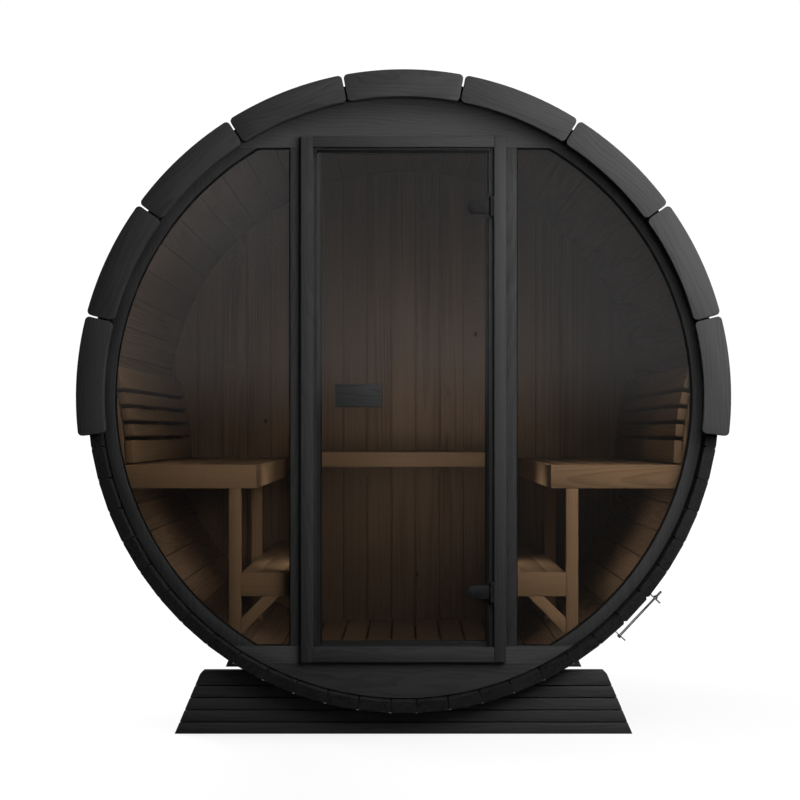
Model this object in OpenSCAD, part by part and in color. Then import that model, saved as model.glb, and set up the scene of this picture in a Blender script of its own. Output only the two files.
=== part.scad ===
// Barrel sauna: a stave barrel on two cradles, with a glazed front end, a hinged glass door and
// two-tier benches inside. Millimetres, +Z up, the door faces -Y.
// The origin is on the ground, under the middle of the barrel.

/* [Barrel] */
// Length of the staves
barrel_len = 2000; // [1700:10:2600]
// Radius from the barrel axis to the flat outer faces of the staves
barrel_r = 1010; // [990:1:1080]
// Thickness of the staves
stave_t = 37; // [34:1:50]
// Number of full-width staves round the barrel
stave_count = 59; // [53:2:65]
// Outer width of the narrow closing stave at the bottom
closing_stave_w = 84; // [60:1:100]
// Chamfer along the outer edges of each stave
stave_chamfer = 5; // [3:0.5:8]
// Clear height between the lowest stave and the ground
ground_gap = 75; // [60:1:120]

/* [Fascia] */
// Number of blocks in each crown of fascia
fascia_count = 9; // [7:1:12]
// Angle that each crown covers over the top of the barrel
fascia_span = 194.1; // [160:0.1:200]
// How far the fascia stands out past the staves
fascia_rise = 30; // [20:1:40]
// How far the fascia reaches in past the staves
fascia_lip = 19; // [6:1:26]
// Thickness of the fascia blocks
fascia_t = 45; // [30:1:60]
// Gap between neighbouring fascia blocks
fascia_gap = 5; // [3:1:20]
// Corner radius of the fascia blocks
fascia_corner = 14; // [8:1:30]

/* [Bands] */
// Width of the steel bands
band_w = 30; // [24:1:40]
// Thickness of the steel bands
band_t = 1.5; // [1:0.1:3]
// Distance of each band's middle from its end of the barrel
band_inset = 34; // [24:1:36]
// Angle of the band's gap below level, on the right
band_gap_angle = 43.2; // [35:0.1:45]
// Clear distance between the two ears of a band
ear_spread = 160; // [120:1:200]
// Length of the ears outside the band
ear_len = 40; // [34:1:50]
// Thickness of the ears
ear_t = 4; // [3:0.5:6]
// Diameter of the tensioning bolts
bolt_d = 8; // [6:1:14]
// Distance of the bolt's axis outside the band
bolt_off = 18.5; // [14:0.5:26]
// Length of thread that stands past the nut
bolt_tail = 22; // [10:1:40]

/* [Cradles] */
// Width of a cradle at the ground
cradle_base_w = 1477; // [1380:1:1600]
// Width of a cradle at its top
cradle_top_w = 1304; // [1200:1:1360]
// Height of a cradle
cradle_h = 204; // [180:1:240]
// Thickness of a cradle
cradle_t = 45; // [35:1:70]
// Distance of each cradle's outer face from its end of the barrel
cradle_inset = 60; // [56:1:300]
// Chamfer at the top corners of a cradle
cradle_chamfer = 12; // [5:1:25]

/* [End walls] */
// Thickness of the front and back walls
wall_t = 42; // [36:1:60]
// Depth of the front wall's face behind the stave ends
front_recess = 58; // [40:1:70]
// Depth of the back wall's outer face inside the rear stave ends
back_recess = 60; // [30:1:120]
// Width of the rim between the windows and the staves
rim_w = 41; // [34:1:60]
// Width of the posts between the windows and the door frame
post_w = 35; // [30:1:60]
// Height of the door frame's top edge above the windows' top edges
window_drop = 33; // [28:1:80]
// Height of the windows' bottom edges above the door frame's foot
window_rise = 50; // [40:1:90]
// Thickness of the window panes
pane_t = 8; // [6:1:10]
// Depth that the panes reach into the wall around them
pane_bite = 8; // [6:1:12]

/* [Door frame] */
// Overall width of the door frame
frame_w = 660; // [600:1:700]
// Height of the staves' inner faces above the door frame, at the top of the barrel
frame_head_room = 134; // [110:1:180]
// Depth of the staves' inner faces below the door frame, at the bottom of the barrel
frame_foot_room = 121; // [105:1:150]
// How far the door frame stands out of the wall
frame_proud = 18; // [12:1:24]
// Face width of the jambs
jamb_w = 38; // [34:1:50]
// Face height of the frame's head
head_w = 34; // [30:1:50]
// Face height of the frame's sill
sill_w = 48; // [36:1:60]
// Width of the stop on the jambs
jamb_stop = 24; // [20:1:40]
// Height of the stop on the head
head_stop = 15; // [14:1:40]
// Height of the stop on the sill
sill_stop = 17; // [12:1:40]

/* [Door] */
// Thickness of the glass leaf
leaf_t = 8; // [6:1:10]
// Depth of the leaf's face behind the face of the frame
leaf_recess = 4; // [3:0.5:6]
// Gap between the leaf and each jamb
leaf_side_gap = 13; // [10:1:16]
// Gap between the leaf and the head
leaf_top_gap = 6; // [6:1:12]
// Gap between the leaf and the sill
leaf_bottom_gap = 6; // [5:1:12]
// Gap between the back of the leaf and the stops
stop_gap = 6; // [5:0.5:10]

/* [Hinges] */
// Distance of each hinge's middle from the end of the door frame
hinge_inset = 225; // [120:1:400]
// Height of the fixed hinge leaves
hinge_h = 65; // [55:1:90]
// Height of the clamps on the glass
clamp_h = 43; // [36:1:50]
// Reach of the clamps over the glass
clamp_len = 70; // [50:1:100]
// Thickness of each clamp plate
clamp_t = 5; // [4:0.5:6]
// Diameter of the hinge knuckles
knuckle_d = 11; // [9:0.5:12]
// Distance of the hinge axis beside the leaf's edge
hinge_side = 3; // [2:0.5:4]
// Distance of the hinge axis in front of the leaf
hinge_front = 6; // [6:0.5:7]
// Thickness of the fixed hinge leaves
hinge_plate_t = 3; // [2:0.5:4]
// Distance of the front clamp plates from the leaf's edge
clamp_edge = 4; // [4:0.5:8]
// Diameter of the screws through the glass
screw_d = 8; // [6:0.5:10]

/* [Handle] */
// Width of the handle block
handle_w = 150; // [100:1:200]
// Height of the handle block
handle_h = 73; // [50:1:100]
// Thickness of the handle block on each face of the glass
handle_t = 30; // [20:1:32]
// Distance of the handle from the leaf's free edge
handle_edge = 60; // [40:1:120]
// Height of the handle's middle above the barrel axis
handle_rise = 5; // [-100:1:100]

/* [Floor] */
// Gap between the staves and the lower edges of the outer floor boards
floor_edge_gap = 10.5; // [3:0.5:20]
// Number of floor boards
floor_count = 7; // [5:1:7]
// Width of each floor board
floor_board_w = 84; // [60:1:86]
// Gap between floor boards
floor_gap = 8.5; // [5:0.5:10]
// Thickness of the floor boards
floor_board_t = 20; // [18:1:26]
// Number of cross bearers under the floor
bearer_count = 4; // [3:1:6]
// Width of each bearer
bearer_w = 60; // [40:1:80]

/* [Benches] */
// Gap between the front wall and the bench fronts
bench_front_gap = 6; // [6:1:60]
// Distance of the upper benches' inner edges from the middle
bench_x = 478; // [440:1:520]
// Height of the upper benches above the floor
bench_rise = 670; // [640:1:700]
// Distance of the lower benches' inner edges from the middle
step_x = 365; // [340:1:380]
// Width of the lower benches
step_w = 163; // [150:1:200]
// Height of the lower benches above the floor
step_rise = 320; // [300:1:360]
// Height of the bench aprons
apron_h = 77; // [60:1:90]
// Thickness of the bench boards and aprons
board_t = 28; // [20:1:32]
// Gap between the boards of the upper benches and the rear bench
board_gap = 10; // [6:1:15]
// Gap between the boards of the lower benches
step_gap = 0.5; // [0.3:0.1:10]
// Width of each bench board
board_w = 78; // [60:1:95]
// Width and depth of the bench legs
leg_w = 40; // [34:1:50]
// Distance from the front legs to the middle legs
leg_pitch = 960; // [700:10:1000]
// Thickness of the diagonal braces
brace_w = 38; // [30:1:44]
// Height of the brace's foot below the lower bench
brace_drop = 125; // [100:1:130]

/* [Backrests] */
// Gap between the staves and the back of the backrests
rest_clear = 13.5; // [6:0.5:30]
// Lean of the lowest backrest slat away from upright
rest_lean = 3; // [2:0.1:6]
// Further lean of each slat against the one below it
rest_curl = 3.2; // [1:0.1:4]
// Thickness of the backrest slats
rest_t = 28; // [20:1:30]
// Gap between the upper bench and the lowest slat
rest_foot_gap = 6; // [4:1:15]
// Width of the lowest and the topmost slat
rest_wide_w = 74; // [60:1:78]
// Width of the slats between them
rest_slat_w = 40; // [30:1:44]
// Number of slats between the lowest and the topmost
rest_slat_count = 3; // [1:1:3]
// Gap between the slats
rest_gap = 13.5; // [8:0.5:15]

/* [Rear bench] */
// Width of the rear bench
rear_bench_w = 820; // [810:1:940]
// Depth of the rear bench, from its front edge to the back wall
rear_bench_d = 398; // [300:1:600]
// Height of the rear bench's apron
rear_apron_h = 60; // [50:1:70]
// Height of the rear bench's top above the side benches
rear_bench_step = 28; // [15:1:30]
// Number of boards on the rear bench
rear_board_count = 4; // [3:1:5]

/* [Fits] */
// Gap between neighbouring staves
stave_gap = 0.5; // [0.3:0.1:0.9]
// Gap where a piece is cut to the curve of the barrel
fit = 0.3; // [0.2:0.05:0.5]
// Radial gap round bolts and screws
hole_gap = 0.4; // [0.2:0.05:0.6]
// Gap between a turning knuckle and the fixed ones
turn_gap = 0.5; // [0.3:0.1:1]

/* [Hidden] */
$fn = 360;
stain = [0.09, 0.09, 0.095];
bare_wood = [0.52, 0.36, 0.24];
smoked = [0.12, 0.11, 0.10, 0.55];
steel = [0.68, 0.68, 0.70];
dark_metal = [0.14, 0.14, 0.15];

// Points on each round corner and along each long arc
corner_steps = 6;
arc_steps = 12;

// Barrel
r_in = barrel_r - stave_t;
axis_z = ground_gap + barrel_r;
front_y = -barrel_len / 2;
back_y = barrel_len / 2;
stave_total = stave_count + 1;
stave_groups = 6;
closing_angle = 2 * atan(closing_stave_w / 2 / barrel_r);
stave_angle = (360 - closing_angle) / stave_count;
stave_corner_r = norm([barrel_r, stave_half(barrel_r, stave_angle) - stave_chamfer]);
seat_r = stave_corner_r + fit;
inner_fit_r = r_in - fit;

// Fascia
fascia_r0 = r_in - fascia_lip;
fascia_r1 = barrel_r + fascia_rise;
fascia_pitch = fascia_span / fascia_count;
fascia_half = fascia_pitch / 2 - asin(fascia_gap / (fascia_r0 + fascia_r1));

// Bands: the ears stand square to the bolt, at a direction measured from straight down
band_turn = 90 - band_gap_angle;
bolt_r = seat_r + bolt_off;
ear_out = ear_spread / 2 + ear_t;
head_t = bolt_d * 0.65;
nut_t = bolt_d * 0.85;
hex_d = bolt_d * 1.5 / cos(30);

// Front wall: heights are measured from the barrel axis
wall_r = r_in - fit;
wall_y = front_y + front_recess;
wall_back_y = wall_y + wall_t;
frame_foot = frame_foot_room - r_in;
frame_top = r_in - frame_head_room;
frame_h = frame_top - frame_foot;
frame_half = frame_w / 2;
window_top = frame_top - window_drop;
window_foot = frame_foot + window_rise;
window_x = frame_half + post_w;
window_r = wall_r - rim_w;
pane_y = wall_y + (wall_t - pane_t) / 2;

// Door: the leaf closes against the stops from outside
frame_y = wall_y - frame_proud;
leaf_y = frame_y + leaf_recess;
leaf_back_y = leaf_y + leaf_t;
stop_y = leaf_back_y + stop_gap;
jamb_x = frame_half - jamb_w;
stop_x = jamb_x - jamb_stop;
leaf_x = jamb_x - leaf_side_gap;
leaf_foot = frame_foot + sill_w + leaf_bottom_gap;
leaf_top = frame_top - head_w - leaf_top_gap;
hinge_zs = [axis_z + frame_foot + hinge_inset, axis_z + frame_top - hinge_inset];
hinge_x = leaf_x + hinge_side;
hinge_y = leaf_y - hinge_front;
knuckle_h = hinge_h / 4;
clamp_x1 = leaf_x - clamp_edge;
clamp_x0 = clamp_x1 - clamp_len;
clamp_back_x1 = stop_x - stop_gap;
handle_x = -leaf_x + handle_edge;
handle_z = axis_z + handle_rise;

// Back wall
back_wall_y = back_y - back_recess - wall_t;

// Floor: it lies as low as its outer boards allow
floor_y0 = wall_back_y + fit;
floor_y1 = back_wall_y - fit;
floor_pitch = floor_board_w + floor_gap;
floor_half = (floor_count * floor_pitch - floor_gap) / 2;
floor_under = chord(r_in - floor_edge_gap, floor_half);
floor_z = axis_z - floor_under + floor_board_t;
bearer_trim = 30;
bearer_half = chord(inner_fit_r, floor_under) - bearer_trim;

// Benches
bench_y0 = wall_back_y + bench_front_gap;
bench_y1 = back_wall_y - fit;
bench_z = floor_z + bench_rise;
step_z = floor_z + step_rise;
step_x1 = step_x + step_w;
leg_x1 = step_x1 + leg_w;
leg_ys = [bench_y0, bench_y0 + leg_pitch];
rail_w = leg_w;
rail_ys = [bench_y0 + leg_pitch, bench_y1 - rail_w];

// Least part of a board's pitch for which a last, narrower board is laid
narrowest_board = 0.25;

// Backrests: the slats from the lowest to the topmost
rest_last = rest_slat_count + 1;
rest_widths = [for (i = [0:rest_last]) i == 0 || i == rest_last ? rest_wide_w : rest_slat_w];
rest_top = rest_point(rest_last, rest_wide_w, rest_t);

// The backrest stands as far out as the barrel lets its foot and its top edge stand
rest_foot_x = chord(r_in, bench_z - axis_z) - rest_t;
rest_top_x = chord(r_in, bench_z + rest_top[1] - axis_z) - rest_top[0];
rest_x = min(rest_foot_x, rest_top_x) - rest_clear;
upright_ys = concat(leg_ys, [bench_y1 - leg_w]);

// Rear bench
rear_y = back_wall_y - rear_bench_d;
rear_z = bench_z + rear_bench_step;
rear_x = rear_bench_w / 2;

// Half the chord of a circle at a distance from its centre
function chord(r, distance) = sqrt(pow(r, 2) - pow(distance, 2));

// Half width of a stave at a radius, less its share of the joint
function stave_half(r, angle) = r * tan(angle / 2) - stave_gap / 2 / cos(angle / 2);

// Direction of a stave from straight down, counted round to the right
function stave_turn(i) = i == 0 ? 0 : closing_angle / 2 + (i - 0.5) * stave_angle;

// First stave of a group; the first group lies round the bottom
function group_first(g) = round(g * stave_total / stave_groups)
    - floor(stave_total / stave_groups / 2) + 1;

// Points of an arc
function arc(centre, r, from, to, steps) = [
    for (i = [0:steps]) centre + r * direction(from + (to - from) * i / steps)
];
function direction(angle) = [cos(angle), sin(angle)];

// Lean of a backrest slat
function rest_turn(i) = rest_lean + i * rest_curl;

// Foot of a slat, from the foot of the backrest on the bench
function rest_foot(i) = i == 0
    ? rest_foot_gap * direction(90 - rest_lean)
    : rest_point(i - 1, rest_widths[i - 1] + rest_gap / 2, 0) + rest_gap / 2 * direction(90 - rest_turn(i));

// A point up along a slat and behind its face
function rest_point(i, up, behind) = rest_foot(i)
    + up * direction(90 - rest_turn(i))
    + behind * direction(-rest_turn(i));

// A flat outline, seen from the front, carried through the barrel from y0 to y1
module along(y0, y1) {
    translate([0, y1, 0])
        rotate([90, 0, 0])
            linear_extrude(y1 - y0)
                children();
}

// The same, for an outline whose heights are measured from the barrel axis
module along_axis(y0, y1) {
    along(y0, y1)
        translate([0, axis_z])
            children();
}

// A box between two corners
module box(low, high) {
    translate(low)
        cube(high - low);
}

// The right-hand piece, or its mirror image on the left
module on_side(left) {
    mirror([left ? 1 : 0, 0, 0])
        children();
}

// Space inside the staves
module inside_barrel() {
    intersection() {
        children();
        along_axis(front_y, back_y)
            circle(r = inner_fit_r);
    }
}

module stave_outline(angle) {
    half_in = stave_half(r_in, angle);
    shoulder = barrel_r - stave_chamfer;
    half_shoulder = stave_half(shoulder, angle);
    half_out = stave_half(barrel_r, angle) - stave_chamfer;
    polygon([
        [-half_in, -r_in],
        [-half_shoulder, -shoulder],
        [-half_out, -barrel_r],
        [half_out, -barrel_r],
        [half_shoulder, -shoulder],
        [half_in, -r_in]
    ]);
}

// One sixth of the staves
module staves(group) {
    color(stain)
        for (i = [group_first(group):group_first(group + 1) - 1]) {
            index = (i + stave_total) % stave_total;
            along_axis(front_y, back_y)
                rotate(stave_turn(index))
                    stave_outline(index == 0 ? closing_angle : stave_angle);
        }
}

// A curved block with round corners, at the top of its circle
module fascia_outline() {
    outer = fascia_r1 - fascia_corner;
    inner = fascia_r0 + fascia_corner;
    outer_end = fascia_half - asin(fascia_corner / outer);
    inner_end = fascia_half - asin(fascia_corner / inner);
    polygon(concat(
        arc(outer * direction(90 - outer_end), fascia_corner, -fascia_half, 90 - outer_end, corner_steps),
        arc([0, 0], fascia_r1, 90 - outer_end, 90 + outer_end, arc_steps),
        arc(outer * direction(90 + outer_end), fascia_corner, 90 + outer_end, 180 + fascia_half, corner_steps),
        arc(inner * direction(90 + inner_end), fascia_corner, 180 + fascia_half, 270 + inner_end, corner_steps),
        arc([0, 0], fascia_r0, 90 + inner_end, 90 - inner_end, arc_steps),
        arc(inner * direction(90 - inner_end), fascia_corner, 270 - inner_end, 360 - fascia_half, corner_steps)
    ));
}

module fascia(y0) {
    color(stain)
        for (i = [0:fascia_count - 1])
            along_axis(y0, y0 + fascia_t)
                rotate((i - (fascia_count - 1) / 2) * fascia_pitch)
                    fascia_outline();
}

module front_fascia() {
    fascia(front_y - fascia_t);
}

module rear_fascia() {
    fascia(back_y);
}

// Turns what is drawn hanging straight down to the gap of the band
module at_tensioner(y) {
    translate([0, y, axis_z])
        rotate([0, -band_turn, 0])
            children();
}

// A ring with a gap, and an ear on each side of the gap
module band_outline() {
    difference() {
        union() {
            difference() {
                circle(r = seat_r + band_t);
                rotate(band_turn)
                    translate([-ear_spread / 2, -2 * seat_r])
                        square([ear_spread, 2 * seat_r]);
            }
            rotate(band_turn)
                for (x = [-ear_out, ear_spread / 2])
                    translate([x, -seat_r - ear_len])
                        square([ear_t, ear_len + stave_t]);
        }
        circle(r = seat_r);
    }
}

module band(y) {
    color(steel)
        difference() {
            along_axis(y - band_w / 2, y + band_w / 2)
                band_outline();
            at_tensioner(y)
                translate([-ear_out - 1, 0, -bolt_r])
                    rotate([0, 90, 0])
                        cylinder(h = 2 * ear_out + 2, d = bolt_d + 2 * hole_gap);
        }
}

module front_band() {
    band(front_y + band_inset);
}

module rear_band() {
    band(back_y - band_inset);
}

// The bolt's head bears on the lower ear and its nut on the upper one
module band_bolt(y) {
    color(steel)
        at_tensioner(y)
            translate([0, 0, -bolt_r])
                rotate([0, 90, 0]) {
                    translate([0, 0, -ear_out - head_t])
                        cylinder(h = head_t, d = hex_d, $fn = 6);
                    translate([0, 0, -ear_out])
                        cylinder(h = 2 * ear_out + nut_t + bolt_tail, d = bolt_d);
                    translate([0, 0, ear_out])
                        difference() {
                            cylinder(h = nut_t, d = hex_d, $fn = 6);
                            translate([0, 0, -1])
                                cylinder(h = nut_t + 2, d = bolt_d + hole_gap);
                        }
                }
}

module front_band_bolt() {
    band_bolt(front_y + band_inset);
}

module rear_band_bolt() {
    band_bolt(back_y - band_inset);
}

module cradle(y0) {
    base = cradle_base_w / 2;
    top = cradle_top_w / 2;
    slope = (base - top) / cradle_h;
    color(stain)
        difference() {
            along(y0, y0 + cradle_t)
                polygon([
                    [-base, 0],
                    [base, 0],
                    [top + slope * cradle_chamfer, cradle_h - cradle_chamfer],
                    [top - cradle_chamfer, cradle_h],
                    [-top + cradle_chamfer, cradle_h],
                    [-top - slope * cradle_chamfer, cradle_h - cradle_chamfer]
                ]);
            along_axis(y0 - 1, y0 + cradle_t + 1)
                circle(r = seat_r);
        }
}

module front_cradle() {
    cradle(front_y + cradle_inset);
}

module rear_cradle() {
    cradle(back_y - cradle_inset - cradle_t);
}

// The right-hand window's outline, grown on all sides
module window_outline(grow) {
    intersection() {
        circle(r = window_r + grow);
        translate([window_x - grow, window_foot - grow])
            square([window_r, window_top - window_foot + 2 * grow]);
    }
}

// Grooves that hold both panes
module pane_grooves() {
    for (left = [false, true])
        on_side(left)
            along_axis(pane_y - fit, pane_y + pane_t + fit)
                window_outline(pane_bite);
}

// Wall between two heights, outside the windows, less the door frame and the grooves
module wall_part(low, high) {
    color(stain)
        difference() {
            along_axis(wall_y, wall_back_y)
                difference() {
                    intersection() {
                        circle(r = wall_r);
                        translate([-wall_r, low])
                            square([2 * wall_r, high - low]);
                    }
                    translate([-frame_half, frame_foot])
                        square([frame_w, frame_h]);
                }
            pane_grooves();
        }
}

module front_wall_head() {
    wall_part(window_top, wall_r);
}

module front_wall_base() {
    wall_part(-wall_r, window_foot);
}

module front_rim(left) {
    color(stain)
        difference() {
            on_side(left)
                along_axis(wall_y, wall_back_y)
                    difference() {
                        intersection() {
                            circle(r = wall_r);
                            translate([0, window_foot])
                                square([wall_r, window_top - window_foot]);
                        }
                        circle(r = window_r);
                    }
            pane_grooves();
        }
}

module front_rim_left() {
    front_rim(true);
}

module front_rim_right() {
    front_rim(false);
}

module door_post(left) {
    color(stain)
        difference() {
            on_side(left)
                box([frame_half, wall_y, axis_z + window_foot],
                    [window_x, wall_back_y, axis_z + window_top]);
            pane_grooves();
        }
}

module door_post_left() {
    door_post(true);
}

module door_post_right() {
    door_post(false);
}

module window(left) {
    color(smoked)
        on_side(left)
            along_axis(pane_y, pane_y + pane_t)
                window_outline(pane_bite - fit);
}

module window_left() {
    window(true);
}

module window_right() {
    window(false);
}

module door_jamb(left) {
    color(stain)
        on_side(left)
            translate([0, 0, axis_z + frame_foot])
                linear_extrude(frame_h)
                    polygon([
                        [jamb_x, frame_y],
                        [frame_half, frame_y],
                        [frame_half, wall_back_y],
                        [stop_x, wall_back_y],
                        [stop_x, stop_y],
                        [jamb_x, stop_y]
                    ]);
}

module door_jamb_left() {
    door_jamb(true);
}

module door_jamb_right() {
    door_jamb(false);
}

module door_head() {
    top = axis_z + frame_top;
    color(stain) {
        box([-jamb_x, frame_y, top - head_w], [jamb_x, stop_y, top]);
        box([-stop_x, stop_y, top - head_w - head_stop], [stop_x, wall_back_y, top]);
    }
}

module door_sill() {
    foot = axis_z + frame_foot;
    color(stain) {
        box([-jamb_x, frame_y, foot], [jamb_x, stop_y, foot + sill_w]);
        box([-stop_x, stop_y, foot], [stop_x, wall_back_y, foot + sill_w + sill_stop]);
    }
}

// Knuckle of a hinge, on the hinge axis
module knuckle(z, h) {
    translate([hinge_x, hinge_y, z])
        cylinder(h = h, d = knuckle_d);
}

// Fixed leaf on the jamb, with a knuckle at each end
module hinge_leaves() {
    color(dark_metal)
        for (middle = hinge_zs) {
            low = middle - hinge_h / 2;
            high = middle + hinge_h / 2;
            box([jamb_x - hinge_plate_t, hinge_y, low], [jamb_x, stop_y, high]);
            for (z = [low, high - knuckle_h]) {
                knuckle(z, knuckle_h);
                box([hinge_x, hinge_y, z], [jamb_x, hinge_y + hinge_plate_t, z + knuckle_h]);
            }
        }
}

module glass_holes() {
    for (z = hinge_zs)
        clamp_screws(z, screw_d + 2 * hole_gap);
    handle_screws(screw_d + 2 * hole_gap);
}

// A screw through the glass, standing a little into what it holds
module glass_screw(x, z, d) {
    bite = 1;
    translate([x, leaf_back_y + bite, z])
        rotate([90, 0, 0])
            cylinder(h = leaf_t + 2 * bite, d = d);
}

module clamp_screws(z, d) {
    for (share = [0.3, 0.75])
        glass_screw(clamp_x0 + (clamp_back_x1 - clamp_x0) * share, z, d);
}

module handle_screws(d) {
    for (share = [1 / 4, 3 / 4])
        glass_screw(handle_x + handle_w * share, handle_z, d);
}

module door_glass() {
    color(smoked)
        difference() {
            box([-leaf_x, leaf_y, axis_z + leaf_foot], [leaf_x, leaf_back_y, axis_z + leaf_top]);
            glass_holes();
        }
}

// Clamp plate with a round end, from the front face y to the side x1
module clamp_plate(x1, y, z) {
    box([clamp_x0 + clamp_h / 2, y, z - clamp_h / 2], [x1, y + clamp_t, z + clamp_h / 2]);
    translate([clamp_x0 + clamp_h / 2, y + clamp_t, z])
        rotate([90, 0, 0])
            cylinder(h = clamp_t, d = clamp_h);
}

// A plate on each face of the glass, and a knuckle that turns on the hinge axis
module hinge_clamps() {
    color(dark_metal)
        for (middle = hinge_zs) {
            clamp_plate(clamp_x1, leaf_y - clamp_t, middle);
            clamp_plate(clamp_back_x1, leaf_back_y, middle);
            clamp_screws(middle, screw_d);
            turning_h = hinge_h - 2 * knuckle_h - 2 * turn_gap;
            knuckle(middle - turning_h / 2, turning_h);
            box([clamp_x1 - 1, leaf_y - clamp_t, middle - turning_h / 2],
                [hinge_x, leaf_y - clamp_t / 2, middle + turning_h / 2]);
        }
}

// One block on each face of the glass, screwed together through it
module door_handle() {
    color(stain) {
        for (y = [leaf_y - handle_t, leaf_back_y])
            box([handle_x, y, handle_z - handle_h / 2],
                [handle_x + handle_w, y + handle_t, handle_z + handle_h / 2]);
        handle_screws(screw_d);
    }
}

module back_wall() {
    color(bare_wood)
        along_axis(back_wall_y, back_wall_y + wall_t)
            circle(r = wall_r);
}

module floor_boards() {
    color(bare_wood)
        for (i = [0:floor_count - 1])
            box([i * floor_pitch - floor_half, floor_y0, floor_z - floor_board_t],
                [i * floor_pitch - floor_half + floor_board_w, floor_y1, floor_z]);
}

// Bearers cut to the curve of the barrel
module floor_bearers() {
    step = (floor_y1 - floor_y0 - bearer_w) / (bearer_count - 1);
    color(bare_wood)
        inside_barrel()
            for (i = [0:bearer_count - 1])
                box([-bearer_half, floor_y0 + i * step, axis_z - r_in],
                    [bearer_half, floor_y0 + i * step + bearer_w, floor_z - floor_board_t]);
}

// Boards on rails behind two aprons, from x0 out to x1, its top at z
module bench(x0, x1, z, gap) {
    low = z - apron_h;
    deck = z - board_t;
    inner = x0 + board_t;
    behind = bench_y0 + board_t + fit;
    first = inner + gap;
    pitch = board_w + gap;
    count = ceil((x1 - first) / pitch - narrowest_board);
    box([x0, bench_y0, low], [x1, bench_y0 + board_t, z]);
    box([x0, behind, low], [inner, bench_y1, z]);
    for (y = rail_ys)
        box([inner + fit, y, low], [x1, y + rail_w, deck - fit]);
    for (i = [0:count - 1]) {
        board_x = first + i * pitch;
        box([board_x, behind, deck], [min(board_x + board_w, x1), bench_y1, z]);
    }
}

module upper_bench(left) {
    color(bare_wood)
        inside_barrel()
            on_side(left)
                bench(bench_x, chord(inner_fit_r, bench_z - axis_z), bench_z, board_gap);
}

module upper_bench_left() {
    upper_bench(true);
}

module upper_bench_right() {
    upper_bench(false);
}

module lower_bench(left) {
    color(bare_wood)
        on_side(left)
            bench(step_x, step_x1, step_z, step_gap);
}

module lower_bench_left() {
    lower_bench(true);
}

module lower_bench_right() {
    lower_bench(false);
}

// Legs from the staves up to the upper bench, each with a brace under the lower bench
module bench_legs(left) {
    brace_foot = step_z - apron_h - brace_drop;
    brace_cut = brace_w * sqrt(2);
    color(bare_wood)
        inside_barrel()
            on_side(left)
                for (y = leg_ys) {
                    box([step_x1, y, axis_z - r_in], [leg_x1, y + leg_w, bench_z - apron_h]);
                    along(y, y + leg_w)
                        translate([-fit, 0])
                            polygon([
                                [step_x1, brace_foot],
                                [step_x1, brace_foot + brace_cut],
                                [step_x1 - brace_drop + brace_cut, step_z - apron_h],
                                [step_x1 - brace_drop, step_z - apron_h]
                            ]);
                }
}

module bench_legs_left() {
    bench_legs(true);
}

module bench_legs_right() {
    bench_legs(false);
}

// Slats on uprights that fill the space to the staves
module backrest(left) {
    color(bare_wood)
        inside_barrel()
            on_side(left) {
                along(bench_y0, bench_y1)
                    translate([rest_x, bench_z])
                        for (i = [0:rest_last])
                            translate(rest_foot(i))
                                rotate(-rest_turn(i))
                                    square([rest_t, rest_widths[i]]);
                for (y = upright_ys)
                    along(y, y + leg_w)
                        translate([rest_x, bench_z])
                            upright_outline();
            }
}

// From the backs of the slats out past the staves
module upright_outline() {
    backs = [for (i = [0:rest_last], end = [0, 1]) rest_point(i, end * rest_widths[i], rest_t + fit)];
    low = rest_point(0, -2 * rest_foot_gap, rest_t + fit);
    intersection() {
        polygon(concat([low], backs, [[r_in, rest_top[1]], [r_in, low[1]]]));
        square([r_in, rest_top[1]]);
    }
}

module backrest_left() {
    backrest(true);
}

module backrest_right() {
    backrest(false);
}

// Boards from side to side, on end rails behind an apron
module rear_bench() {
    low = rear_z - rear_apron_h;
    deck = rear_z - board_t;
    deck_y = rear_y + board_t + board_gap;
    pitch = (bench_y1 - deck_y + board_gap) / rear_board_count;
    color(bare_wood) {
        box([-rear_x, rear_y, low], [rear_x, rear_y + board_t, rear_z]);
        for (left = [false, true])
            on_side(left)
                box([rear_x - board_t, rear_y + board_t + fit, low], [rear_x, bench_y1, deck - fit]);
        for (i = [0:rear_board_count - 1])
            box([-rear_x, deck_y + i * pitch, deck],
                [rear_x, deck_y + (i + 1) * pitch - board_gap, rear_z]);
    }
}

// Short legs that stand on the lower benches
module rear_bench_legs() {
    color(bare_wood)
        for (left = [false, true])
            on_side(left)
                for (y = [rear_y + board_t + fit, bench_y1 - leg_w])
                    box([rear_x - leg_w, y, step_z], [rear_x, y + leg_w, rear_z - rear_apron_h]);
}

staves(0);  // staves_bottom
staves(1);  // staves_lower_right
staves(2);  // staves_upper_right
staves(3);  // staves_top
staves(4);  // staves_upper_left
staves(5);  // staves_lower_left
front_fascia();
rear_fascia();
front_band();
rear_band();
front_band_bolt();
rear_band_bolt();
front_cradle();
rear_cradle();
front_wall_head();
front_wall_base();
front_rim_left();
front_rim_right();
door_post_left();
door_post_right();
window_left();
window_right();
door_jamb_left();
door_jamb_right();
door_head();
door_sill();
hinge_leaves();
door_glass();
hinge_clamps();
door_handle();
back_wall();
floor_boards();
floor_bearers();
upper_bench_left();
upper_bench_right();
lower_bench_left();
lower_bench_right();
bench_legs_left();
bench_legs_right();
backrest_left();
backrest_right();
rear_bench();
rear_bench_legs();
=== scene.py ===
"""Barrel sauna: the finish of every piece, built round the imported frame.

Metres, +Z up. The barrel lies along Y and its door end faces -Y.
"""
import logging
import math
import random
from collections.abc import Callable, Iterator
from contextlib import contextmanager
from dataclasses import dataclass
from enum import Enum

import bmesh
import bpy
import numpy as np
from mathutils import Matrix, Vector


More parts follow.
